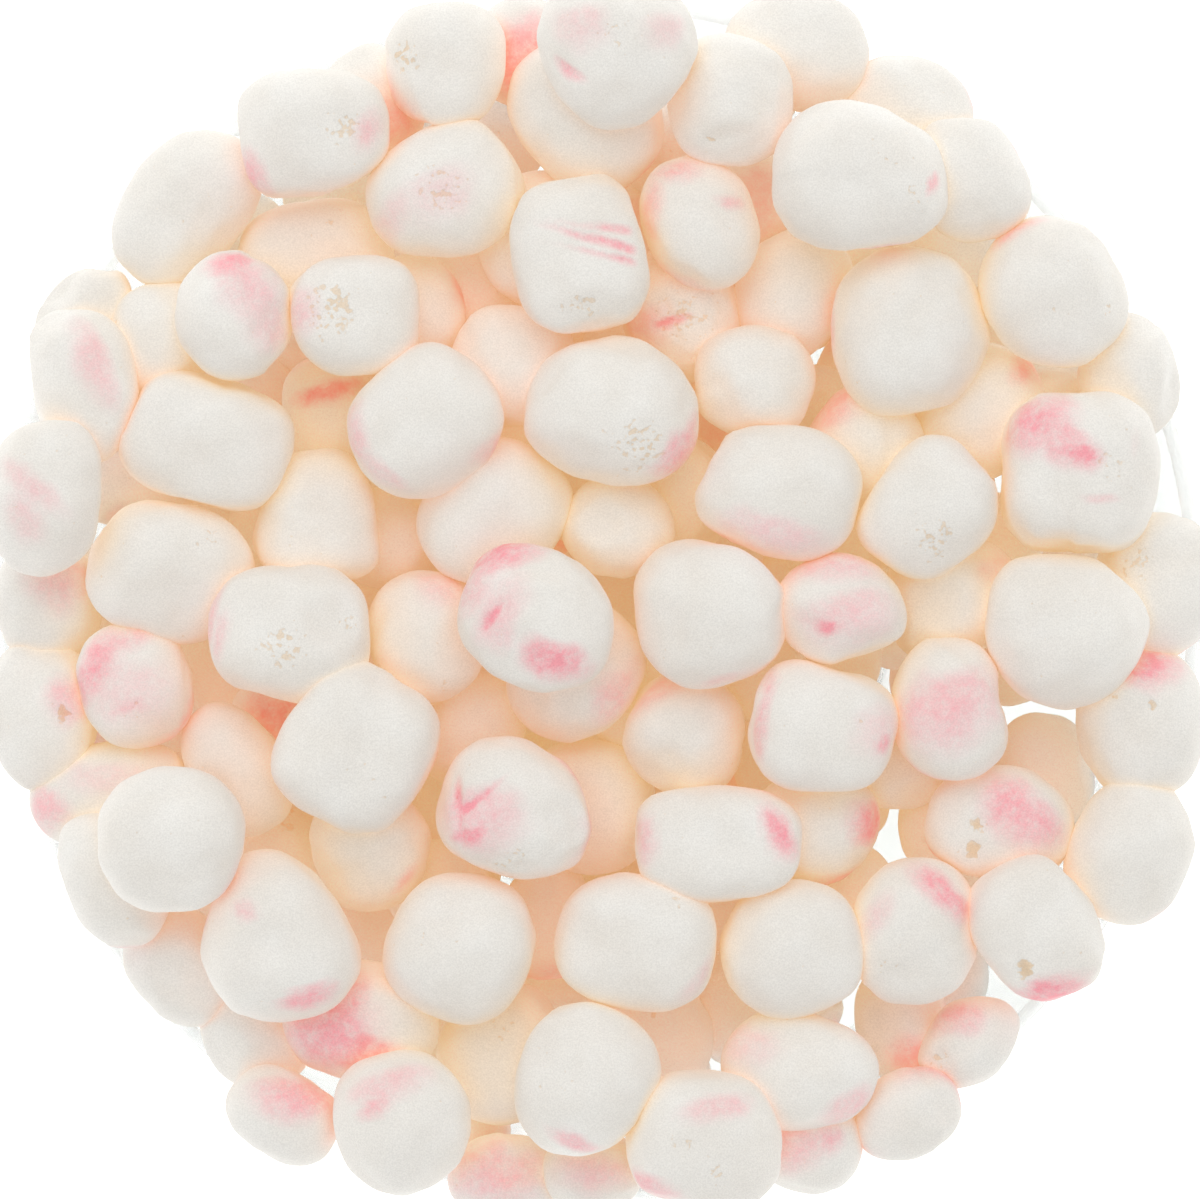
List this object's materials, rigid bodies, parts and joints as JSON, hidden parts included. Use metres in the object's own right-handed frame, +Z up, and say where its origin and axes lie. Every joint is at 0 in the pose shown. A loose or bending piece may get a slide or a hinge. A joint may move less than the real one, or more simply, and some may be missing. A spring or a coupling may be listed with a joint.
{
  "type": "bowl of freeze-dried taffy",
  "caption": "Clear glass serving bowl heaped with puffed, chalky white and pink freeze-dried taffy sweets, standing on its flat base.",
  "frame": {"origin": "middle of the flat base that the bowl stands on", "axes": "+Z up through the heap; +Y towards the top edge of the view from above, +X to its right"},
  "size_m": [0.2571, 0.2562, 0.1169],
  "materials": {
    "clear_glass": "clear, polished, smooth",
    "freeze_dried_taffy": "chalky, dry and matte, with pink streaks and small pits"
  },
  "bodies": {
    "root": {"bowl": "clear_glass", "taffy_heap": "freeze_dried_taffy"}
  },
  "joints": []
}
